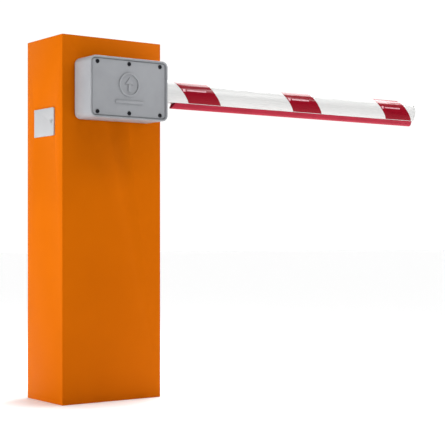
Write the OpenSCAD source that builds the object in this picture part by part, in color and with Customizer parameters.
// Parking barrier gate: a sheet steel cabinet with a rear door, a worm gearmotor on a drive plate,
// a balance spring, and a boom clamped in a cast bracket on the main shaft.
// Frame: origin at the centre of the cabinet's foot, on the floor. +X along the lowered boom,
// -Y out of the front panel, +Z up. Millimetres.

/* [Cabinet] */
// Width of the cabinet
cab_w = 330; // [300:5:420]
// Depth of the cabinet
cab_d = 212; // [212:2:280]
// Height of the cabinet
cab_h = 1050; // [1000:10:1250]
// Sheet steel thickness
sheet = 2; // [1.5:0.5:3]
// Thickness of the foot plate
foot_t = 6; // [5:1:10]
// Spacing of the anchor bolts along X
anchor_x = 220; // [180:5:240]
// Spacing of the anchor bolts along Y
anchor_y = 140; // [110:5:150]
// Diameter of an anchor bolt hole
anchor_hole_d = 14; // [10:1:18]

/* [Drive] */
// Height of the boom's axis above the floor
axis_h = 897; // [880:1:940]
// Main shaft diameter
shaft_d = 35; // [30:1:36]
// Teeth of the worm wheel, the worm having one start
wheel_teeth = 40; // [36:1:40]
// Module of the worm gear
gear_module = 2.5; // [2.3:0.1:2.5]
// Radius of the balance lever, from shaft to pin
lever_r = 75; // [70:1:80]
// Running clearance on a radius
run_gap = 0.05; // [0.03:0.01:0.1]

/* [Boom] */
// Distance of the boom's tip from the cabinet's centre
boom_reach = 1155; // [800:5:3000]
// Depth of the boom tube, front to back
boom_t = 48; // [40:1:52]
// Height of the boom's full oval, before its foot is cut flat
boom_oval_h = 72; // [60:1:76]
// Wall of the boom tube
boom_wall = 2.5; // [2:0.5:4]
// Height of the rubber bumper below the tube
bumper_h = 17; // [14:1:20]
// Width of one reflective sticker
sticker_w = 118; // [80:1:150]
// Distance from one sticker to the next
sticker_pitch = 401; // [300:1:450]
// Thickness of a reflective sticker
sticker_t = 0.4; // [0.2:0.1:1]

/* [Bracket] */
// Width of the boom bracket
bracket_w = 257; // [245:1:290]
// Height of the boom bracket
bracket_h = 173; // [166:1:185]
// Depth of the boom bracket
bracket_d = 90; // [86:1:100]
// Corner radius of the boom bracket
bracket_r = 18; // [10:1:24]
// Wall of the bracket's casting
bracket_wall = 6; // [4:0.5:8]
// Gap between the cabinet and the bracket
bracket_gap = 6; // [5:0.5:10]

/* [Doors] */
// Depth of the rear door's folded tray
door_t = 16; // [12:1:20]
// Gap around the rear door
door_gap = 2; // [1.5:0.5:4]
// Width of the release hatch
hatch_w = 118; // [110:1:124]
// Height of the release hatch
hatch_h = 80; // [76:1:88]

/* [Hidden] */
$fn = 64;

// Colours
orange_paint = "#EA7A04";
cast_grey = "#A6A8AB";
hatch_grey = "#D3D4D2";
boom_white = "#F2F2F0";
signal_red = "#B80A26";
rubber_red = "#B3243B";
black_oxide = "#24262A";
zinc = "#B9BDBF";
bare_steel = "#8E9296";
dark_rubber = "#1F2022";
bronze = "#B58A4A";
cast_alu = "#9FA2A3";
motor_black = "#2B2E31";
board_green = "#1E6B3C";
copper_tape = "#C9A227";
relay_blue = "#2A5C9E";
terminal_green = "#3F9B4A";

// Small clearances
seat_gap = 0.3;      // between faces of two bodies that pass each other
skin = 1;            // how far a cutting solid runs past what it cuts

// Cabinet faces
face_y = -cab_d / 2;            // outside of the front panel
inner_x = cab_w / 2 - sheet;    // inside of a side wall
inner_front = face_y + sheet;   // inside of the front panel
top_in = cab_h - sheet;         // underside of the top

// Frame rails and drive plate
rail_t = 4;
rail_w = 28;
rail_front = inner_front + 16;
plate_t = 8;
plate_front = rail_front + rail_t;
plate_back = plate_front + plate_t;
plate_half_w = inner_x - rail_t - 1;
plate_low = -82;                 // from the axis
plate_high = 108;
plate_bolt = [plate_half_w - 13, 92, -66];   // x, upper z, lower z

// Ball bearings, both alike
race_bore = shaft_d / 2 + run_gap;
race_od = shaft_d / 2 + 13.5;
race_w = 14;
ball_r = 3.6;
ball_ring = (race_bore + race_od) / 2;
ball_count = 10;
race_land = 2;                   // half the open space between the two rings
seat_r = race_od + run_gap;

// Front bearing, in a flanged housing on the drive plate's front
flange_bearing_front = plate_front - 16;
flange_bearing_r = 52;
flange_bolt_r = 43;

// Worm gear
wheel_r = gear_module * wheel_teeth / 2;
worm_r = 16;
lead = PI * gear_module;
tooth_up = 0.95 * gear_module;
tooth_down = 1.3 * gear_module;
worm_x = wheel_r + worm_r;
wheel_w = 14;
hub_w = 22;
worm_len = 44;
thread_points = 20;

// Gearbox, bolted to the drive plate's back
drum_r = wheel_r + 16;
chamber_r = wheel_r + 5;
gearbox_depth = 70;
gearbox_back = plate_back + gearbox_depth;
chamber_front = plate_back + 18;
worm_y = (chamber_front + gearbox_back) / 2 - 9;
tunnel_half = 26;
tunnel_r = 22;
tunnel_end = 62;
bush_len = 12;
worm_shaft_r = 9;
bush_r = 14;
cover_t = 8;
cover_back = gearbox_back + cover_t;
boss_r = 40;
boss_back = cover_back + 12;
foot_flange = [-84, worm_x + 50, -58, 80];   // x low, x high, z low, z high
gearbox_bolt = [-72, worm_x + 38, -46, 68];
motor_flange_r = 42;
motor_flange_t = 10;
rear_race_front = gearbox_back + 2;
cover_screw_ring = (drum_r + chamber_r) / 2;
cover_screw_angles = [10, 60, 110, 190, 240, 280];

// Motor, hanging under the gearbox
motor_r = 40;
motor_wall = 4;
motor_top = -tunnel_end - motor_flange_t;
motor_len = 158;
bell_len = 20;
motor_bottom = motor_top - motor_len;
rotor_r = 30;
rotor_shaft_r = 7;

// Balance lever, its stops and the limit switches
lever_front = boss_back + 6;
lever_t = 16;
lever_mid = lever_front + lever_t / 2;
lever_hub_back = lever_front + 24;
lever_half = 12;
lever_pin_r = 6;
stop_r = 48;
stop_half = 13;
buffer_r = 9;
buffer_len = 12;
stop_screw_r = 5;
stop_lug = [30, 44];             // how far a lug's two faces lie from the axis
cam_r = 24;
cam_t = 6;
cam_front = lever_hub_back + 2;
cam_pitch = 8;
shaft_back = cam_front + 2 * cam_pitch + 2;
switch_floor = 52;

// Balance spring: a line from the lever's pin to the anchor pin on the foot plate
anchor_pin = [-42, foot_t + 104];
lever_pin_at = [-lever_r, axis_h];
spring_line = norm(lever_pin_at - anchor_pin);
spring_tilt = atan2(lever_pin_at[0] - anchor_pin[0], lever_pin_at[1] - anchor_pin[1]);
spring_wire = 6;
spring_mean_r = 19;
spring_in_r = spring_mean_r - spring_wire / 2;
spring_out_r = spring_mean_r + spring_wire / 2;
spring_low = 140;                // from the anchor pin along the line
spring_top_drop = 90;            // from the lever's pin along the line
spring_pin_r = 5;
rod_r = 6;
plug_len = 25;

// Boom bracket
bracket_back = face_y - bracket_gap;
bracket_front = bracket_back - bracket_d;
rim_t = 4.5;
cover_plate_t = 4;
shell_front = bracket_front + rim_t;         // front edge of the housing
cover_inner = shell_front + cover_plate_t;
rim_w = 7;
hub_r = 40;
hub_front = bracket_back - 12;
cover_screw_x = bracket_w / 2 - 24.5;
cover_screw_z = bracket_h / 2 - 16.5;
screw_boss_r = 8;
cover_screw_r = 3;

// Boom tube: an oval with a flat foot that carries the bumper
boom_y = bracket_back - 45;
boom_z = 4;                      // the oval's centre above the axis
boom_start = -112;
foot_cut = -boom_oval_h / 2 + 6; // the flat foot, from the oval's centre
slot_w = 8;
channel_w = 16;
channel_h = 5.5;
cap_t = 6;
cap_neck = 1.2;
tube_end = boom_reach - cap_t;
bumper_start = 166;
bumper_lean = 12;                // how far the bumper's slanted start runs back at its top
bumper_end = tube_end - 1;
sticker_start = 165;
sticker_slant = 0.88;
saddle_x = [50, 110];
saddle_split = 3;
clamp_bolt_x = (saddle_x[0] + saddle_x[1]) / 2;
clamp_bolt_z = boom_oval_h / 2 + 8;
saddle_half_h = clamp_bolt_z + 6;

// Rear door
door_out = cab_d / 2 - 1;
door_in = door_out - door_t;
door_half_w = inner_x - door_gap;
door_low = 8;
door_high = top_in - door_gap;
gasket_t = 4.7;
stop_flange_y = door_in - 5;
stop_flange_w = 18;
hinge_x = cab_w / 2 - sheet / 2;
hinge_r = 5;
hinge_y = cab_d / 2 + hinge_r + 0.4;
hinge_pin_r = 2.5;
hinge_z = [150, cab_h / 2, cab_h - 170];
knuckle_len = 29;
door_lock = [-inner_x + 28, cab_h / 2 + 35];   // x, z

// Release hatch, in the left wall
hatch_y = -3;
hatch_z = axis_h - 91;
hatch_flange_t = 1.5;
hatch_plate_t = 2.4;
hatch_r = 6;
hatch_face = -cab_w / 2 - hatch_flange_t;
hatch_axis_x = hatch_face - seat_gap - hatch_plate_t / 2;
hatch_axis_y = hatch_w / 2 - hatch_plate_t / 2;
hatch_pin_r = 0.7;
ear_h = 7;
ear_w = 4.6;
pocket_depth = 40;
pocket_wall = 2.5;
pocket_w = hatch_w - 6;
pocket_h = hatch_h - 12;
pocket_floor = -cab_w / 2 + pocket_depth;
hatch_lock_y = -hatch_w / 2 + 12;
hatch_lock_r = 5;
hatch_cam = 14;
release_y = -5;
release_r = 6;
release_end = -12;
knob_r = 16;

// Control gear
panel_y = 10;
panel_x = 30;
panel_low = 250;
panel_high = 600;
board_low = 380;
board_high = 575;
board_x = [38, 148];
board_y = 20;
board_t = 1.6;
toroid_at = [95, 310];
cable_r = 4;
cable_bend = 8;
cable_y = board_y + board_t + cable_r + 0.4;

// ---------------------------------------------------------------- shapes

// A cylinder along Y.
module cyl_y(r, front, back) {
    translate([0, front, 0]) rotate([-90, 0, 0]) cylinder(r = r, h = back - front);
}

// A cylinder along X.
module cyl_x(r, left, right) {
    translate([left, 0, 0]) rotate([0, 90, 0]) cylinder(r = r, h = right - left);
}

// A cylinder along Z.
module cyl_z(r, low, high) {
    translate([0, 0, low]) cylinder(r = r, h = high - low);
}

// An outline in the XZ plane, given depth along Y.
module prism_y(front, back) {
    translate([0, back, 0]) rotate([90, 0, 0]) linear_extrude(back - front) children();
}

// A section in the YZ plane, given length along X.
module prism_x(left, right) {
    translate([left, 0, 0]) rotate([90, 0, 90]) linear_extrude(right - left) children();
}

// A box between two corners.
module span(low, high) {
    translate(low) cube(high - low);
}

// The points of an oval with the given half sizes.
function oval(a, b, n = 48) = [for (i = [0 : n - 1]) [a * cos(360 * i / n), b * sin(360 * i / n)]];

// The points of a rectangle with round corners, centred on the origin.
function round_rect(w, h, r, n = 8) = [
    for (corner = [0 : 3], i = [0 : n])
        let (a = 90 * corner + 90 * i / n,
             cx = (corner == 0 || corner == 3 ? 1 : -1) * (w / 2 - r),
             cy = (corner < 2 ? 1 : -1) * (h / 2 - r))
        [cx + r * cos(a), cy + r * sin(a)]
];

// Everything on the main shaft is placed from the boom's axis.
module at_axis() {
    translate([0, 0, axis_h]) children();
}

// Four places at the corners of a rectangle in the XZ plane.
module four_at(x0, x1, z0, z1) {
    for (x = [x0, x1], z = [z0, z1]) translate([x, 0, z]) children();
}

// A hex head on a shank along Y, the head's seat at seat_y and the shank running to tip_y.
module bolt_y(r, head_r, head_t, seat_y, tip_y) {
    dir = tip_y > seat_y ? 1 : -1;
    cyl_y(r, min(seat_y, tip_y), max(seat_y, tip_y));
    translate([0, seat_y - dir * head_t / 2, 0]) rotate([90, 0, 0])
        cylinder(r = head_r, h = head_t, center = true, $fn = 6);
}

// A key on top of the shaft, from front to back along Y.
key_w = 8;
key_h = 3.5;
module shaft_key(front, back, grow = 0) {
    span([-key_w / 2 - grow, front - grow, shaft_d / 2 - key_h - grow],
         [key_w / 2 + grow, back + grow, shaft_d / 2 + key_h + grow]);
}
key_spans = [
    [hub_front + 1, bracket_back - 1],
    [worm_y - 9, worm_y + 9],
    [lever_front + 1, lever_hub_back - 1],
];

// ---------------------------------------------------------------- cabinet

// Folded sheet steel wrap: front, two sides and top.
module cabinet_shell() {
    color(orange_paint) difference() {
        span([-cab_w / 2, face_y, 0], [cab_w / 2, cab_d / 2, cab_h]);
        span([-inner_x, inner_front, -skin], [inner_x, cab_d / 2 + skin, top_in]);
        at_axis() cyl_y(hub_r, face_y - skin, inner_front + skin);
        translate([0, hatch_y, hatch_z])
            prism_x(-cab_w / 2 - skin, -inner_x + skin)
                square([pocket_w + 1, pocket_h + 1], center = true);
    }
}

// Strip frame welded inside the wrap, that stops the rear door and carries its seal.
module door_stop_frame() {
    color(orange_paint) {
        for (side = [-1, 1])
            span([side > 0 ? inner_x - stop_flange_w : -inner_x, stop_flange_y - sheet, foot_t],
                 [side > 0 ? inner_x : -inner_x + stop_flange_w, stop_flange_y, top_in]);
        span([-inner_x, stop_flange_y - sheet, top_in - stop_flange_w],
             [inner_x, stop_flange_y, top_in]);
    }
}

// Steel plate inside the foot, with the anchor holes and the opening for the ducts.
cable_opening = [-20, 70, -62, 0];   // x low, x high, y low, y high
module foot_plate() {
    color(zinc) difference() {
        span([-inner_x, inner_front, 0], [inner_x, stop_flange_y - sheet, foot_t]);
        for (x = [-1, 1], y = [-1, 1])
            translate([x * anchor_x / 2, y * anchor_y / 2, 0])
                cyl_z(anchor_hole_d / 2, -skin, foot_t + skin);
        span([cable_opening[0], cable_opening[2], -skin],
             [cable_opening[1], cable_opening[3], foot_t + skin]);
    }
}

// Two angle rails, welded to the side walls, that carry the drive plate.
module frame_rails() {
    color(zinc) for (side = [-1, 1]) mirror([side < 0 ? 1 : 0, 0, 0])
        difference() {
            union() {
                span([inner_x - rail_w, rail_front, foot_t],
                     [inner_x, rail_front + rail_t, top_in - stop_flange_w]);
                span([inner_x - rail_t, rail_front + rail_t, foot_t],
                     [inner_x, rail_front + rail_w, top_in - stop_flange_w]);
            }
            at_axis() for (z = [plate_bolt[1], plate_bolt[2]])
                translate([plate_bolt[0], 0, z]) cyl_y(4.1, rail_front - skin, plate_front + skin);
        }
}

// Steel plate across the rails, which carries the gearbox and the front bearing.
module drive_plate() {
    color(bare_steel) at_axis() difference() {
        span([-plate_half_w, plate_front, plate_low], [plate_half_w, plate_back, plate_high]);
        cyl_y(shaft_d / 2 + 4, plate_front - skin, plate_back + skin);
        span([worm_x - motor_flange_r - 6, plate_front - skin, plate_low - skin],
             [worm_x + motor_flange_r + 6, plate_back + skin, -tunnel_end + 3]);
        four_at(-plate_bolt[0], plate_bolt[0], plate_bolt[2], plate_bolt[1])
            cyl_y(4.1, plate_front - skin, plate_back + skin);
        four_at(gearbox_bolt[0], gearbox_bolt[1], gearbox_bolt[2], gearbox_bolt[3])
            cyl_y(4.1, plate_front - skin, plate_back + skin);
        for (a = [45 : 90 : 315]) rotate([0, a, 0]) translate([flange_bolt_r, 0, 0])
            cyl_y(4.1, plate_front - skin, plate_back + skin);
    }
}

// Bolts of the plate on the rails, of the gearbox on the plate and of the front bearing.
module drive_plate_bolts() {
    color(black_oxide) at_axis() {
        four_at(-plate_bolt[0], plate_bolt[0], plate_bolt[2], plate_bolt[1])
            bolt_y(4, 7.5, 5, plate_back, rail_front - 6);
        four_at(gearbox_bolt[0], gearbox_bolt[1], gearbox_bolt[2], gearbox_bolt[3])
            bolt_y(4, 7.5, 5, plate_back + 10, plate_front - 3);
        for (a = [45 : 90 : 315]) rotate([0, a, 0]) translate([flange_bolt_r, 0, 0])
            bolt_y(4, 6.5, 6, flange_bearing_front + 8, plate_back);
    }
}

// Flanged cast housing of the front ball bearing.
module front_bearing_housing() {
    color(cast_alu) at_axis() difference() {
        cyl_y(flange_bearing_r, flange_bearing_front, plate_front);
        cyl_y(shaft_d / 2 + 2, flange_bearing_front - skin, plate_front + skin);
        cyl_y(seat_r, plate_front - race_w, plate_front + skin);
        for (a = [45 : 90 : 315]) rotate([0, a, 0]) translate([flange_bolt_r, 0, 0]) {
            cyl_y(4.1, flange_bearing_front - skin, plate_front + skin);
            cyl_y(7, flange_bearing_front - skin, flange_bearing_front + 8);
        }
    }
}

race_fronts = [plate_front - race_w, rear_race_front];

module ring_y(r_in, r_out, front, width) {
    translate([0, front, 0]) rotate([-90, 0, 0]) rotate_extrude()
        difference() {
            translate([r_in, 0]) square([r_out - r_in, width]);
            translate([ball_ring, width / 2]) circle(r = ball_r + 0.15);
        }
}

// Outer rings of the two ball bearings.
module bearing_outer_rings() {
    color(bare_steel) at_axis() for (f = race_fronts)
        ring_y(ball_ring + race_land, race_od, f, race_w);
}

// Inner rings of the two ball bearings.
module bearing_inner_rings() {
    color(bare_steel) at_axis() for (f = race_fronts)
        ring_y(race_bore, ball_ring - race_land, f, race_w);
}

// Balls of the two ball bearings.
module bearing_balls() {
    color(bare_steel) at_axis() for (f = race_fronts, i = [0 : ball_count - 1])
        rotate([0, 360 * i / ball_count, 0]) translate([ball_ring, f + race_w / 2, 0])
            sphere(r = ball_r);
}

// Plastic collar that closes the front panel's hole around the shaft.
module shaft_collar() {
    color(dark_rubber) at_axis() difference() {
        union() {
            cyl_y(hub_r - 0.3, face_y, inner_front + 2);
            cyl_y(hub_r + 6, face_y - 3, face_y);
        }
        cyl_y(shaft_d / 2 + 1, face_y - 3 - skin, inner_front + 2 + skin);
    }
}

// ---------------------------------------------------------------- gearmotor

// Cast gearbox: a drum for the wheel, a tunnel for the worm, a foot flange, and a boss for the release.
module gearbox_housing() {
    color(cast_alu) at_axis() difference() {
        union() {
            cyl_y(drum_r, plate_back, gearbox_back);
            span([foot_flange[0], plate_back, foot_flange[2]],
                 [foot_flange[1], plate_back + 10, foot_flange[3]]);
            span([worm_x - tunnel_half, worm_y - tunnel_half, -tunnel_end],
                 [worm_x + tunnel_half, worm_y + tunnel_half, tunnel_end]);
            translate([worm_x, worm_y, 0]) cyl_z(motor_flange_r, motor_top, -tunnel_end);
            span([release_end - 22, worm_y - 4, hatch_z - axis_h - 12],
                 [release_end, gearbox_back, -drum_r + 20]);
            span([release_end - 22, worm_y - 4, hatch_z - axis_h - 12],
                 [release_end, release_y + 13, -drum_r - 3]);
        }
        cyl_y(shaft_d / 2 + 1.5, plate_back - skin, gearbox_back + skin);
        cyl_y(chamber_r, chamber_front, gearbox_back + skin);
        translate([worm_x, worm_y, 0]) {
            cyl_z(tunnel_r, -tunnel_end + bush_len, tunnel_end - bush_len);
            cyl_z(bush_r + run_gap, motor_top - skin, tunnel_end + skin);
        }
        four_at(gearbox_bolt[0], gearbox_bolt[1], gearbox_bolt[2], gearbox_bolt[3])
            cyl_y(4.1, plate_back - skin, plate_back + 10 + skin);
        for (a = cover_screw_angles) rotate([0, -a, 0]) translate([cover_screw_ring, 0, 0])
            cyl_y(2.55, gearbox_back - 14, gearbox_back + skin);
        translate([0, release_y, hatch_z - axis_h])
            cyl_x(release_r + run_gap, release_end - 22 - skin, release_end - 4);
    }
}

// Cast cover with the rear bearing and the lugs of the two end stops.
module gearbox_cover() {
    color(cast_alu) at_axis() difference() {
        union() {
            cyl_y(drum_r, gearbox_back, cover_back);
            cyl_y(boss_r, cover_back, boss_back);
            span([-stop_r - stop_half, gearbox_back, stop_lug[0]],
                 [-stop_r + stop_half, lever_front + lever_t + 2, stop_lug[1]]);
            span([stop_lug[0], gearbox_back, -stop_r - stop_half],
                 [stop_lug[1], lever_front + lever_t + 2, -stop_r + stop_half]);
        }
        cyl_y(shaft_d / 2 + 1, gearbox_back - skin, boss_back + skin);
        cyl_y(seat_r, gearbox_back - skin, rear_race_front + race_w);
        for (a = cover_screw_angles) rotate([0, -a, 0]) translate([cover_screw_ring, 0, 0])
            cyl_y(2.7, gearbox_back - skin, cover_back + skin);
        translate([-stop_r, lever_mid, 0])
            cyl_z(stop_screw_r + run_gap, stop_lug[0] - skin, stop_lug[1] + skin);
        translate([0, lever_mid, -stop_r])
            cyl_x(stop_screw_r + run_gap, stop_lug[0] - skin, stop_lug[1] + skin);
    }
}

// Screws of the gearbox cover.
module gearbox_cover_screws() {
    color(black_oxide) at_axis() for (a = cover_screw_angles)
        rotate([0, -a, 0]) translate([cover_screw_ring, 0, 0])
            difference() {
                union() {
                    cyl_y(2.5, gearbox_back - 12, cover_back);
                    cyl_y(4.5, cover_back, cover_back + 5);
                }
                translate([0, cover_back + 2.5, 0]) rotate([-90, 0, 0]) cylinder(r = 2.2, h = 3, $fn = 6);
            }
}

// Bronze bushes at the worm's two ends.
module worm_bushes() {
    color(bronze) at_axis() translate([worm_x, worm_y, 0])
        for (low = [-tunnel_end, tunnel_end - bush_len])
            difference() {
                cyl_z(bush_r, low, low + bush_len);
                cyl_z(worm_shaft_r + run_gap, low - skin, low + bush_len + skin);
            }
}

// Cap over the worm's upper end.
module worm_end_cap() {
    color(cast_alu) at_axis() translate([worm_x, worm_y, 0]) cyl_z(bush_r + 6, tunnel_end, tunnel_end + 5);
}

// Points of the worm's section: the thread's height runs round it once.
function thread_h(s) = s < 0.16 || s > 0.84 ? 1
    : s < 0.30 ? 1 - (s - 0.16) / 0.14 : s > 0.70 ? (s - 0.70) / 0.14 : 0;
function worm_section() = [for (i = [0 : thread_points - 1])
    let (s = i / thread_points, r = worm_r - tooth_down + thread_h(s) * (tooth_down + tooth_up))
    [r * cos(360 * s), r * sin(360 * s)]];

// Worm, motor shaft and armature, which turn as one.
module worm_rotor() {
    color(bare_steel) at_axis() translate([worm_x, worm_y, 0]) {
        translate([0, 0, -worm_len / 2]) rotate([0, 0, 180 - 360 * worm_len / 2 / lead])
            linear_extrude(worm_len, twist = -360 * worm_len / lead,
                           slices = round(worm_len / lead * thread_points),
                           convexity = 6, $fn = thread_points)
                polygon(worm_section());
        cyl_z(worm_shaft_r, -tunnel_end + 1, -worm_len / 2 + 0.5);
        cyl_z(worm_shaft_r, worm_len / 2 - 0.5, tunnel_end - 1);
        cyl_z(rotor_shaft_r, motor_bottom - bell_len + 4, -tunnel_end + 1);
        cyl_z(rotor_r, motor_bottom + 14, motor_top - 20);
    }
}

// Motor can with its front plate, and four ribs.
module motor_housing() {
    color(motor_black) at_axis() translate([worm_x, worm_y, 0]) difference() {
        union() {
            cyl_z(motor_r, motor_bottom, motor_top);
            for (a = [0 : 30 : 330]) rotate([0, 0, a])
                span([motor_r - 1, -1.5, motor_bottom + 12], [motor_r + 2, 1.5, motor_top - 14]);
        }
        cyl_z(motor_r - motor_wall, motor_bottom - skin, motor_top - 8);
        cyl_z(rotor_shaft_r + 2, motor_top - 8 - skin, motor_top + skin);
    }
}

// Motor end bell with the cable gland.
module motor_end_bell() {
    color(cast_alu) at_axis() translate([worm_x, worm_y, 0]) difference() {
        union() {
            cyl_z(motor_r, motor_bottom - bell_len, motor_bottom);
            translate([0, 0, motor_bottom - bell_len / 2]) cyl_y(7, motor_r - 4, gland_back - worm_y);
        }
        cyl_z(rotor_shaft_r + run_gap, motor_bottom - bell_len + 3, motor_bottom + skin);
        translate([0, 0, motor_bottom - bell_len / 2])
            cyl_y(cable_r + run_gap, motor_r - 6, gland_back - worm_y + skin);
    }
}
gland_back = worm_y + motor_r + 8;

// Cable from the motor's gland, round one bend and down to the board's terminals.
module motor_cable() {
    cable_z = axis_h + motor_bottom - bell_len / 2;
    color(dark_rubber) translate([worm_x, 0, 0]) {
        translate([0, 0, cable_z]) cyl_y(cable_r, worm_y + motor_r - 5, cable_y - cable_bend);
        translate([0, cable_y - cable_bend, cable_z - cable_bend])
            rotate([90, 0, 90]) rotate_extrude(angle = 90) translate([cable_bend, 0]) circle(r = cable_r);
        translate([0, cable_y, 0]) cyl_z(cable_r, board_high - 4, cable_z - cable_bend);
    }
}

// ---------------------------------------------------------------- main shaft

// Main shaft with its keyways and a tapped front end.
module main_shaft() {
    color(bare_steel) at_axis() difference() {
        cyl_y(shaft_d / 2, hub_front + 0.5, shaft_back);
        for (k = key_spans) shaft_key(k[0], k[1]);
        cyl_y(5 + run_gap, hub_front - skin, hub_front + 28);
    }
}

// Keys of the bracket, the worm wheel and the lever.
module shaft_keys() {
    color(zinc) at_axis() for (k = key_spans) shaft_key(k[0], k[1]);
}

// Points of one wheel tooth after another: root, flank, tip, flank.
function wheel_points() = [for (i = [0 : wheel_teeth - 1], k = [0 : 3])
    let (a = 360 / wheel_teeth * (i + 0.5),
         half = [0.30, 0.13, 0.13, 0.30][k] * 360 / wheel_teeth,
         sign = k < 2 ? -1 : 1,
         r = k == 0 || k == 3 ? wheel_r - tooth_down : wheel_r + tooth_up)
    [r * cos(a + sign * half), r * sin(a + sign * half)]];

// Bronze worm wheel on its hub.
module worm_wheel() {
    helix = lead / (2 * PI * worm_r) * wheel_w / wheel_r * 180 / PI;
    color(bronze) at_axis() difference() {
        union() {
            translate([0, worm_y + wheel_w / 2, 0]) rotate([90, 0, 0]) rotate([0, 0, -helix / 2])
                linear_extrude(wheel_w, twist = -helix, slices = 4, convexity = 6) polygon(wheel_points());
            cyl_y(shaft_d / 2 + 10, worm_y - hub_w / 2, worm_y + hub_w / 2);
        }
        cyl_y(race_bore, worm_y - hub_w, worm_y + hub_w);
        span([-key_w / 2, worm_y - hub_w, 0], [key_w / 2, worm_y + hub_w, shaft_d / 2 + key_h]);
    }
}

// Lever on the shaft that the balance spring pulls down.
module balance_lever() {
    color(zinc) at_axis() difference() {
        union() {
            cyl_y(shaft_d / 2 + 12.5, lever_front - 2, lever_hub_back);
            span([-lever_r, lever_front, -lever_half], [0, lever_front + lever_t, lever_half]);
            translate([-lever_r, 0, 0]) cyl_y(lever_half + 2, lever_front, lever_front + lever_t);
        }
        cyl_y(race_bore, lever_front - 2 - skin, lever_hub_back + skin);
        span([-key_w / 2, lever_front - 2 - skin, 0],
             [key_w / 2, lever_hub_back + skin, shaft_d / 2 + key_h]);
        translate([-lever_r, 0, 0])
            cyl_y(lever_pin_r + run_gap, lever_front - skin, lever_front + lever_t + skin);
    }
}

// Pin that joins the spring's yoke to the lever.
fork_t = 5.6;
fork_gap = 0.4;
fork_out = lever_t / 2 + fork_gap + fork_t;
module lever_pin() {
    color(bare_steel) at_axis() translate([-lever_r, lever_mid, 0]) {
        cyl_y(lever_pin_r, -fork_out - 1, fork_out + 1);
        cyl_y(lever_pin_r + 3, fork_out + 0.3, fork_out + 3);
    }
}

// Adjusting screws of the two end stops, each with its lock nut.
module stop_screws() {
    color(zinc) at_axis() {
        translate([-stop_r, lever_mid, 0]) {
            cyl_z(stop_screw_r, lever_half + seat_gap + buffer_len, stop_lug[1] + 18);
            translate([0, 0, stop_lug[1]]) lock_nut();
        }
        translate([0, lever_mid, -stop_r]) {
            cyl_x(stop_screw_r, lever_half + seat_gap + buffer_len, stop_lug[1] + 18);
            translate([stop_lug[1], 0, 0]) rotate([0, 90, 0]) lock_nut();
        }
    }
}
module lock_nut() {
    difference() {
        cylinder(r = 9, h = 8, $fn = 6);
        cyl_z(stop_screw_r + run_gap, -skin, 8 + skin);
    }
}

// Rubber buffers that the lever meets with the boom lowered and raised.
module stop_buffers() {
    color(dark_rubber) at_axis() {
        translate([-stop_r, lever_mid, lever_half + seat_gap]) cyl_z(buffer_r, 0, buffer_len);
        translate([lever_half + seat_gap, lever_mid, -stop_r]) cyl_x(buffer_r, 0, buffer_len);
    }
}

// Two cam discs that work the limit switches, each with a flat.
module limit_cams() {
    color(boom_white) at_axis() for (i = [0, 1])
        difference() {
            cyl_y(cam_r, cam_front + i * cam_pitch, cam_front + i * cam_pitch + cam_t);
            cyl_y(race_bore, cam_front - skin, shaft_back + skin);
            rotate([0, i * 90 + 45, 0])
                span([cam_r - 2.5, cam_front - skin, -cam_r], [cam_r + skin, shaft_back + skin, cam_r]);
        }
}

// Bent sheet bracket that holds the limit switches over the cams.
module switch_bracket() {
    color(zinc) at_axis() {
        span([-14, cover_back, switch_floor], [14, cover_back + 3, switch_floor + 10]);
        span([-14, cover_back + 3, switch_floor], [14, shaft_back, switch_floor + 3]);
    }
}

// Two limit switches with roller plungers.
module limit_switches() {
    color(motor_black) at_axis() for (i = [0, 1])
        translate([0, cam_front + i * cam_pitch + cam_t / 2, 0]) {
            span([-13, -cam_t / 2, switch_floor - 12], [13, cam_t / 2, switch_floor]);
            span([-1.5, -1.5, cam_r + 4], [1.5, 1.5, switch_floor - 12]);
            translate([0, 0, cam_r + 3.5 + seat_gap]) cyl_y(3.5, -cam_t / 2 + 1, cam_t / 2 - 1);
        }
}

// ---------------------------------------------------------------- balance spring

// Places what hangs on the spring's line: the origin at the anchor pin, +Z up the line.
module on_spring_line() {
    translate([anchor_pin[0], lever_mid, anchor_pin[1]]) rotate([0, spring_tilt, 0]) children();
}

// Yoke on the lever's pin, with the plug that the spring's top is wound on.
module spring_yoke() {
    bridge = 34;
    color(zinc) on_spring_line() translate([0, 0, spring_line]) difference() {
        union() {
            for (side = [-1, 1]) {
                y0 = side > 0 ? lever_t / 2 + fork_gap : -fork_out;
                cyl_y(lever_half, y0, y0 + fork_t);
                span([-lever_half, y0, -bridge - 10], [lever_half, y0 + fork_t, 0]);
            }
            span([-lever_half, -fork_out, -bridge - 10], [lever_half, fork_out, -bridge]);
            cyl_z(rod_r + 1, -spring_top_drop, -bridge - 5);
            cyl_z(spring_out_r, -spring_top_drop, -spring_top_drop + 6);
            cyl_z(spring_in_r - run_gap, -spring_top_drop - plug_len, -spring_top_drop);
        }
        cyl_y(lever_pin_r + run_gap, -fork_out - skin, fork_out + skin);
    }
}

// Eye rod on the anchor pin, with its tension nut and the plug in the spring's foot.
module spring_rod() {
    color(zinc) on_spring_line() {
        difference() {
            union() {
                cyl_y(14, -10, 10);
                cyl_z(rod_r, 8, spring_low + plug_len);
            }
            cyl_y(spring_pin_r + run_gap, -10 - skin, 10 + skin);
        }
        difference() {
            translate([0, 0, spring_low - 18]) cylinder(r = 11, h = 11.7, $fn = 6);
            cyl_z(rod_r + run_gap, spring_low - 18 - skin, spring_low - 6);
        }
        difference() {
            union() {
                cyl_z(spring_out_r, spring_low - 6, spring_low);
                cyl_z(spring_in_r - run_gap, spring_low, spring_low + plug_len);
            }
            cyl_z(rod_r + run_gap, spring_low - 6 - skin, spring_low + plug_len + skin);
        }
    }
}

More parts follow.
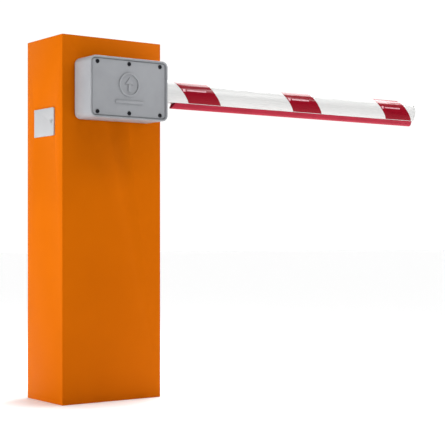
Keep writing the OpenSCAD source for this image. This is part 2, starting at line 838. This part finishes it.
// The balance spring as the sleeve that its coils fill.
module balance_spring() {
    color(bare_steel) on_spring_line() difference() {
        cyl_z(spring_out_r, spring_low, spring_line - spring_top_drop);
        cyl_z(spring_in_r, spring_low - skin, spring_line - spring_top_drop + skin);
    }
}

// Bracket on the foot plate with the pin that holds the spring's foot.
module spring_anchor() {
    ear_in = 12;
    ear_out = 18;
    color(zinc) translate([anchor_pin[0], lever_mid, 0]) {
        difference() {
            union() {
                span([-22, -ear_out, foot_t], [22, ear_out, foot_t + 6]);
                for (side = [-1, 1])
                    span([-16, side > 0 ? ear_in : -ear_out, foot_t + 6],
                         [16, side > 0 ? ear_out : -ear_in, anchor_pin[1] + 14]);
            }
            translate([0, 0, anchor_pin[1]]) cyl_y(spring_pin_r + run_gap, -ear_out - skin, ear_out + skin);
        }
        translate([0, 0, anchor_pin[1]]) cyl_y(spring_pin_r, -ear_out - 2, ear_out + 2);
    }
}

// ---------------------------------------------------------------- boom and bracket

// Section of the boom tube's outside, in the YZ plane.
module boom_outline(grow = 0, cut = true) {
    intersection() {
        polygon(oval(boom_t / 2 + grow, boom_oval_h / 2 + grow));
        if (cut) translate([-boom_t, foot_cut - grow]) square([2 * boom_t, boom_oval_h]);
        else translate([-boom_t, -boom_oval_h]) square(2 * boom_oval_h);
    }
}

module at_boom() {
    translate([0, boom_y, axis_h + boom_z]) children();
}

// Oval aluminium tube with a slot along its foot for the bumper.
module boom_tube() {
    floor_z = foot_cut + 2.5 + channel_h + boom_wall;
    color(boom_white) at_boom() prism_x(boom_start, tube_end) difference() {
        boom_outline();
        intersection() {
            polygon(oval(boom_t / 2 - boom_wall, boom_oval_h / 2 - boom_wall));
            translate([-boom_t, floor_z]) square([2 * boom_t, boom_oval_h]);
        }
        translate([-slot_w / 2, foot_cut - skin]) square([slot_w, 4]);
        translate([-channel_w / 2, foot_cut + 2.5]) square([channel_w, channel_h]);
    }
}

// Rubber bumper: a root in the boom's channel and a hollow nose below it.
nose_r = 10;
module nose_disc(r, top) {
    intersection() {
        translate([0, foot_cut - bumper_h + nose_r]) circle(r = r);
        translate([-boom_t, top - boom_oval_h]) square([2 * boom_t, boom_oval_h]);
    }
}
module bumper_profile() {
    lip = 13;
    color(rubber_red) at_boom() difference() {
        prism_x(bumper_start, bumper_end) union() {
            translate([-slot_w / 2 + 0.2, foot_cut - 1]) square([slot_w - 0.4, 4]);
            translate([-channel_w / 2 + 0.3, foot_cut + 2.7]) square([channel_w - 0.6, channel_h - 0.5]);
            polygon([[-lip, foot_cut], [-lip, foot_cut - 2], [-nose_r, foot_cut - bumper_h + nose_r],
                     [nose_r, foot_cut - bumper_h + nose_r], [lip, foot_cut - 2], [lip, foot_cut]]);
            nose_disc(nose_r, foot_cut - bumper_h + nose_r);
        }
        prism_x(bumper_start - skin, bumper_end + skin) nose_disc(nose_r - 3.5, foot_cut - 3);
        prism_y(-boom_t, boom_t)
            polygon([[bumper_start - 2 * skin, foot_cut - bumper_h], [bumper_start, foot_cut - bumper_h],
                     [bumper_start + bumper_lean, foot_cut], [bumper_start + bumper_lean, 0],
                     [bumper_start - 2 * skin, 0]]);
    }
}

// Plastic cap plugged into the tube's end.
module end_cap() {
    floor_z = foot_cut + 2.5 + channel_h + boom_wall;
    color(boom_white) at_boom() {
        prism_x(tube_end, tube_end + cap_neck) boom_outline(grow = -1.5);
        prism_x(tube_end + cap_neck, boom_reach) boom_outline();
        prism_x(tube_end - 20, tube_end) intersection() {
            polygon(oval(boom_t / 2 - boom_wall - 0.2, boom_oval_h / 2 - boom_wall - 0.2));
            translate([-boom_t, floor_z + 0.2]) square([2 * boom_t, boom_oval_h]);
        }
    }
}

// Slanted reflective stickers that wrap over the boom from foot to foot.
module reflective_stickers() {
    top = boom_oval_h / 2 + sticker_t;
    low = foot_cut + 1;
    run = sticker_slant * (top - low);
    count = floor((tube_end - sticker_start - sticker_w - run) / sticker_pitch) + 1;
    color(signal_red) at_boom() for (i = [0 : count - 1]) intersection() {
        prism_x(sticker_start - skin, tube_end) difference() {
            polygon(oval(boom_t / 2 + sticker_t, boom_oval_h / 2 + sticker_t));
            polygon(oval(boom_t / 2, boom_oval_h / 2));
        }
        translate([sticker_start + i * sticker_pitch, 0, 0]) prism_y(-boom_t, boom_t)
            polygon([[0, top + skin], [sticker_w, top + skin], [sticker_w + run, low], [run, low]]);
    }
}

// Cast housing on the shaft's end: back wall with hub, side walls, screw bosses, and the boom's mouth.
module bracket_housing() {
    color(cast_grey) at_axis() difference() {
        union() {
            difference() {
                prism_y(shell_front, bracket_back) polygon(round_rect(bracket_w, bracket_h, bracket_r));
                prism_y(shell_front - skin, bracket_back - bracket_wall)
                    polygon(round_rect(bracket_w - 2 * bracket_wall, bracket_h - 2 * bracket_wall,
                                       bracket_r - bracket_wall));
            }
            cyl_y(hub_r, hub_front, bracket_back);
            for (x = [-cover_screw_x, 0, cover_screw_x], z = [-cover_screw_z, cover_screw_z])
                translate([x, 0, z]) cyl_y(screw_boss_r, cover_inner, bracket_back - 1);
        }
        cyl_y(race_bore, hub_front - skin, bracket_back + skin);
        span([-key_w / 2, hub_front - skin, 0], [key_w / 2, bracket_back + skin, shaft_d / 2 + key_h]);
        for (x = [-cover_screw_x, 0, cover_screw_x], z = [-cover_screw_z, cover_screw_z])
            translate([x, 0, z]) cyl_y(cover_screw_r + run_gap, cover_inner - skin, cover_inner + 24);
        for (x = [-clamp_bolt_x, clamp_bolt_x], z = [-clamp_bolt_z, clamp_bolt_z])
            translate([x, 0, z + boom_z]) cyl_y(4.1, bracket_back - bracket_wall - skin, bracket_back - 2);
        translate([0, boom_y, boom_z]) prism_x(bracket_w / 2 - bracket_wall - 2, bracket_w / 2 + skin)
            boom_outline(grow = 1.2, cut = false);
    }
}

// Washer and bolt that draw the bracket onto the shaft.
module hub_bolt() {
    color(zinc) at_axis() {
        difference() {
            cyl_y(22, hub_front - 2.5, hub_front);
            cyl_y(5.3, hub_front - 3, hub_front + skin);
        }
        cyl_y(5, hub_front - 2.5, hub_front + 24);
        cyl_y(8, hub_front - 5.3, hub_front - 2.5);
    }
}

// Two pairs of saddles that grip the boom.
module clamp_saddles() {
    mid = boom_y;
    color(cast_alu) at_axis() for (side = [-1, 1], part = [0, 1]) difference() {
        span([side > 0 ? saddle_x[0] : -saddle_x[1], part == 0 ? mid + saddle_split / 2 : cover_inner + 6.5,
              boom_z - saddle_half_h],
             [side > 0 ? saddle_x[1] : -saddle_x[0],
              part == 0 ? bracket_back - bracket_wall : mid - saddle_split / 2,
              boom_z + saddle_half_h]);
        translate([0, boom_y, boom_z]) prism_x(-saddle_x[1] - skin, saddle_x[1] + skin)
            boom_outline(grow = run_gap, cut = false);
        for (z = [-clamp_bolt_z, clamp_bolt_z])
            translate([side * clamp_bolt_x, 0, z + boom_z]) cyl_y(4.1, bracket_front, bracket_back);
    }
}

// Bolts that draw the saddles together and hold them in the housing.
module clamp_bolts() {
    color(black_oxide) at_axis() for (x = [-clamp_bolt_x, clamp_bolt_x], z = [-clamp_bolt_z, clamp_bolt_z])
        translate([x, 0, z + boom_z]) bolt_y(4, 6.5, 5, cover_inner + 6.5, bracket_back - 3);
}

// Cast cover: a raised rim round a sunk field, six screw seats and a plain lift emblem.
module bracket_cover() {
    color(cast_grey) at_axis() difference() {
        union() {
            prism_y(bracket_front, shell_front) difference() {
                polygon(round_rect(bracket_w, bracket_h, bracket_r));
                polygon(round_rect(bracket_w - 2 * rim_w, bracket_h - 2 * rim_w, bracket_r - rim_w));
            }
            prism_y(shell_front, cover_inner)
                polygon(round_rect(bracket_w - 2 * bracket_wall - 0.6, bracket_h - 2 * bracket_wall - 0.6,
                                   bracket_r - bracket_wall - 0.3));
            prism_y(shell_front - 1.2, shell_front) lift_emblem();
        }
        for (x = [-cover_screw_x, 0, cover_screw_x], z = [-cover_screw_z, cover_screw_z])
            translate([x, 0, z]) {
                cyl_y(cover_screw_r + 0.3, shell_front - 3, cover_inner + skin);
                cyl_y(6.3, shell_front - 3, shell_front + 1.5);
            }
    }
}

// A ring with an arrow that points up, and a plain bar under it.
module lift_emblem() {
    difference() {
        translate([0, 11]) circle(r = 34);
        translate([0, 11]) circle(r = 29);
    }
    translate([0, 11])
        polygon([[-4, -19], [4, -19], [4, 1], [14, 1], [0, 20], [-14, 1], [-4, 1]]);
    translate([-46, -42]) square([92, 7]);
}

// Socket head screws of the bracket's cover.
module bracket_cover_screws() {
    color(black_oxide) at_axis()
        for (x = [-cover_screw_x, 0, cover_screw_x], z = [-cover_screw_z, cover_screw_z])
            translate([x, 0, z]) difference() {
                union() {
                    cyl_y(cover_screw_r, shell_front + 1.5, cover_inner + 22);
                    cyl_y(5.5, shell_front - 3.8, shell_front + 1.5);
                }
                translate([0, shell_front - 4, 0]) rotate([-90, 0, 0]) cylinder(r = 2.9, h = 3, $fn = 6);
            }
}

// ---------------------------------------------------------------- rear door

// Folded door panel with its half of the three hinges.
module rear_door_panel() {
    color(orange_paint) difference() {
        union() {
            difference() {
                span([-door_half_w, door_in, door_low], [door_half_w, door_out, door_high]);
                span([-door_half_w + sheet, door_in - skin, door_low + sheet],
                     [door_half_w - sheet, door_out - sheet, door_high - sheet]);
            }
            for (z = hinge_z) {
                translate([hinge_x, hinge_y, 0]) cyl_z(hinge_r, z + 0.5, z + knuckle_len);
                span([hinge_x - 30, door_out, z + 0.5], [hinge_x - 2.6, door_out + 3.4, z + knuckle_len]);
            }
        }
        for (z = hinge_z) translate([hinge_x, hinge_y, z])
            cyl_z(hinge_pin_r + run_gap, -skin, knuckle_len + skin);
        translate([door_lock[0], 0, door_lock[1]]) cyl_y(9.05, door_out - sheet - skin, door_out + skin);
    }
}

// Lower knuckles and pins of the three hinges, on the cabinet's edge.
module door_hinge_pins() {
    color(zinc) for (z = hinge_z) translate([hinge_x, hinge_y, 0]) {
        cyl_z(hinge_r, z - knuckle_len, z);
        cyl_z(hinge_pin_r, z - 1, z + knuckle_len - 2);
        span([-sheet / 2, cab_d / 2 - hinge_y, z - knuckle_len], [sheet / 2, 0, z]);
    }
}

// Rubber seal on the stop flanges.
module door_gasket() {
    w = 8;
    color(dark_rubber) {
        for (side = [-1, 1])
            span([side > 0 ? inner_x - w : -inner_x, stop_flange_y, foot_t],
                 [side > 0 ? inner_x : -inner_x + w, stop_flange_y + gasket_t, top_in - w]);
        span([-inner_x, stop_flange_y, top_in - w], [inner_x, stop_flange_y + gasket_t, top_in]);
    }
}

// Housing of the door's lock, clamped in the panel.
module rear_door_lock() {
    color(zinc) translate([door_lock[0], 0, door_lock[1]]) difference() {
        union() {
            cyl_y(9, door_out - 20, door_out);
            cyl_y(13, door_out, door_out + 2.5);
            translate([0, door_out - sheet, 0]) rotate([90, 0, 0]) cylinder(r = 13, h = 5, $fn = 6);
        }
        cyl_y(6 + run_gap, door_out - 20 - skin, door_out + 2.5 + skin);
    }
}

// Turning barrel of the door's lock, with its cam standing up in the open position.
module rear_door_barrel() {
    tail = stop_flange_y - sheet - 4;
    color(bare_steel) translate([door_lock[0], 0, door_lock[1]]) difference() {
        union() {
            cyl_y(6, tail, door_out + 3);
            span([-5, tail, -6], [5, tail + 3, 22]);
        }
        span([-0.8, door_out + 1, -3.5], [0.8, door_out + 4, 3.5]);
    }
}

// ---------------------------------------------------------------- release hatch

// Moulded frame set into the left wall: a flange with hinge ears, and a pocket behind it.
module hatch_frame() {
    color(hatch_grey) translate([0, hatch_y, hatch_z]) difference() {
        union() {
            prism_x(hatch_face, -cab_w / 2) polygon(round_rect(hatch_w, hatch_h, hatch_r));
            prism_x(-cab_w / 2, pocket_floor) square([pocket_w, pocket_h], center = true);
            for (side = [-1, 1])
                span([hatch_face - seat_gap - hatch_plate_t, hatch_w / 2 - ear_w,
                      side > 0 ? hatch_h / 2 - ear_h : -hatch_h / 2],
                     [hatch_face, hatch_w / 2, side > 0 ? hatch_h / 2 : -hatch_h / 2 + ear_h]);
        }
        prism_x(hatch_face - skin, pocket_floor - pocket_wall)
            square([pocket_w - 2 * pocket_wall, pocket_h - 2 * pocket_wall], center = true);
        translate([0, release_y - hatch_y, 0])
            cyl_x(release_r + run_gap, pocket_floor - pocket_wall - skin, pocket_floor + skin);
        span([-cab_w / 2 + 5, -pocket_w / 2 - skin, -6],
             [-cab_w / 2 + 11, -pocket_w / 2 + pocket_wall + skin, hatch_cam + 2]);
        translate([hatch_axis_x, hatch_axis_y, 0])
            cyl_z(hatch_pin_r + run_gap, -hatch_h / 2 + 1.5, hatch_h / 2 - 1.5);
    }
}

// Pin of the hatch's hinge.
module hatch_hinge_pin() {
    color(zinc) translate([hatch_axis_x, hatch_y + hatch_axis_y, hatch_z])
        cyl_z(hatch_pin_r, -hatch_h / 2 + 2, hatch_h / 2 - 2);
}

// Hatch door, cut back beside the frame's ears.
module hatch_door() {
    out = hatch_axis_x - hatch_plate_t / 2;
    color(hatch_grey) translate([0, hatch_y, hatch_z]) difference() {
        union() {
            difference() {
                prism_x(out, out + hatch_plate_t) polygon(round_rect(hatch_w, hatch_h, hatch_r));
                span([out - skin, hatch_axis_y, -hatch_h], [out + hatch_plate_t + skin, hatch_w, hatch_h]);
                for (side = [-1, 1])
                    span([out - skin, hatch_w / 2 - ear_w - 0.4,
                          side > 0 ? hatch_h / 2 - ear_h - 0.4 : -hatch_h / 2 - skin],
                         [out + hatch_plate_t + skin, hatch_w,
                          side > 0 ? hatch_h / 2 + skin : -hatch_h / 2 + ear_h + 0.4]);
            }
            translate([hatch_axis_x, hatch_axis_y, 0])
                cyl_z(hatch_plate_t / 2, -hatch_h / 2 + ear_h + 0.4, hatch_h / 2 - ear_h - 0.4);
        }
        translate([hatch_axis_x, hatch_axis_y, 0]) cyl_z(hatch_pin_r + run_gap, -hatch_h, hatch_h);
        translate([0, hatch_lock_y, 0]) cyl_x(hatch_lock_r + run_gap, out - skin, out + hatch_plate_t + skin);
    }
}

// Key barrel of the hatch, with its cam standing up in the open position.
module hatch_lock() {
    out = hatch_axis_x - hatch_plate_t / 2;
    cam_x = -cab_w / 2 + 6.5;
    color(zinc) translate([0, hatch_y + hatch_lock_y, hatch_z]) difference() {
        union() {
            cyl_x(hatch_lock_r, out - 0.5, cam_x + 3);
            cyl_x(hatch_lock_r + 1.2, out - 1, out);
            span([cam_x, -4, -6], [cam_x + 3, 4, hatch_cam]);
        }
        span([out - 2, -0.8, -3], [out + 1, 0.8, 3]);
    }
}

// Shaft that carries the release from the hatch to the gearbox.
module release_shaft() {
    color(bare_steel) translate([0, release_y, hatch_z])
        cyl_x(release_r, pocket_floor - 24, release_end - 4.5);
}

// Release handle in the hatch's pocket.
module release_knob() {
    front = pocket_floor - 26;
    color(signal_red) translate([0, release_y, hatch_z]) difference() {
        union() {
            cyl_x(knob_r, front + 8, front + 20);
            span([front, -4, -knob_r - 3], [front + 12, 4, knob_r + 3]);
        }
        cyl_x(release_r + run_gap, front + 2, front + 20 + skin);
    }
}

// ---------------------------------------------------------------- control gear

// Bent panel on the right wall that carries the electronics.
module control_plate() {
    color(zinc) difference() {
        union() {
            span([panel_x, panel_y, panel_low], [inner_x, panel_y + 2, panel_high]);
            span([inner_x - 2, panel_y + 2, panel_low], [inner_x, panel_y + 30, panel_high]);
        }
        translate([toroid_at[0], 0, toroid_at[1]]) cyl_y(4.1, panel_y - skin, panel_y + 2 + skin);
    }
}

// Printed circuit board.
module control_board() {
    color(board_green) span([board_x[0], board_y, board_low], [board_x[1], board_y + board_t, board_high]);
}

// Spacers behind the board, and relays, a capacitor and a chip on it.
module board_components() {
    face = board_y + board_t;
    color(relay_blue) {
        for (x = [board_x[0] + 6, board_x[1] - 6], z = [board_low + 6, board_high - 6])
            translate([x, 0, z]) cyl_y(3, panel_y + 2, board_y);
        for (i = [0 : 2])
            span([board_x[0] + 10 + 26 * i, face, board_high - 52],
                 [board_x[0] + 30 + 26 * i, face + 16, board_high - 37]);
        translate([board_x[1] - 20, 0, board_low + 60]) cyl_y(11, face, face + 34);
        span([board_x[0] + 20, face, board_low + 70], [board_x[0] + 48, face + 3, board_low + 98]);
        span([board_x[0] + 12, face, board_low + 34], [board_x[0] + 52, face + 8, board_low + 44]);
    }
}

// Pluggable terminal blocks along the board's top and foot.
module terminal_blocks() {
    face = board_y + board_t;
    color(terminal_green) for (z = [board_high - 14, board_low + 4]) difference() {
        span([board_x[0] + 12, face, z], [board_x[1] - 12, face + 12, z + 10]);
        for (i = [0 : 9])
            translate([board_x[0] + 18 + 8 * i, 0, z + 5]) cyl_y(2, face + 8, face + 13);
    }
}

// Ring transformer with its clamp disc and bolt.
module transformer() {
    color(copper_tape) translate([toroid_at[0], panel_y + 2, toroid_at[1]]) {
        rotate([-90, 0, 0]) rotate_extrude() {
            translate([18, 4]) square([26, 30]);
            translate([22, 0]) square([18, 38]);
        }
        cyl_y(30, 38, 40);
        cyl_y(4, -7, 46);
        translate([0, 40, 0]) rotate([-90, 0, 0]) cylinder(r = 7.5, h = 6, $fn = 6);
    }
}

cabinet_shell();
door_stop_frame();
foot_plate();
frame_rails();
drive_plate();
drive_plate_bolts();
front_bearing_housing();
bearing_outer_rings();
shaft_collar();
gearbox_housing();
gearbox_cover();
gearbox_cover_screws();
worm_bushes();
worm_end_cap();
motor_housing();
motor_end_bell();
stop_screws();
stop_buffers();
switch_bracket();
limit_switches();
spring_anchor();
door_hinge_pins();
door_gasket();
control_plate();
control_board();
board_components();
terminal_blocks();
transformer();
motor_cable();
hatch_frame();
hatch_hinge_pin();
main_shaft();
shaft_keys();
bearing_inner_rings();
bearing_balls();
worm_wheel();
balance_lever();
lever_pin();
limit_cams();
bracket_housing();
hub_bolt();
clamp_saddles();
clamp_bolts();
bracket_cover();
bracket_cover_screws();
boom_tube();
bumper_profile();
end_cap();
reflective_stickers();
worm_rotor();
spring_yoke();
spring_rod();
balance_spring();
rear_door_panel();
rear_door_lock();
rear_door_barrel();
hatch_door();
hatch_lock();
release_shaft();
release_knob();
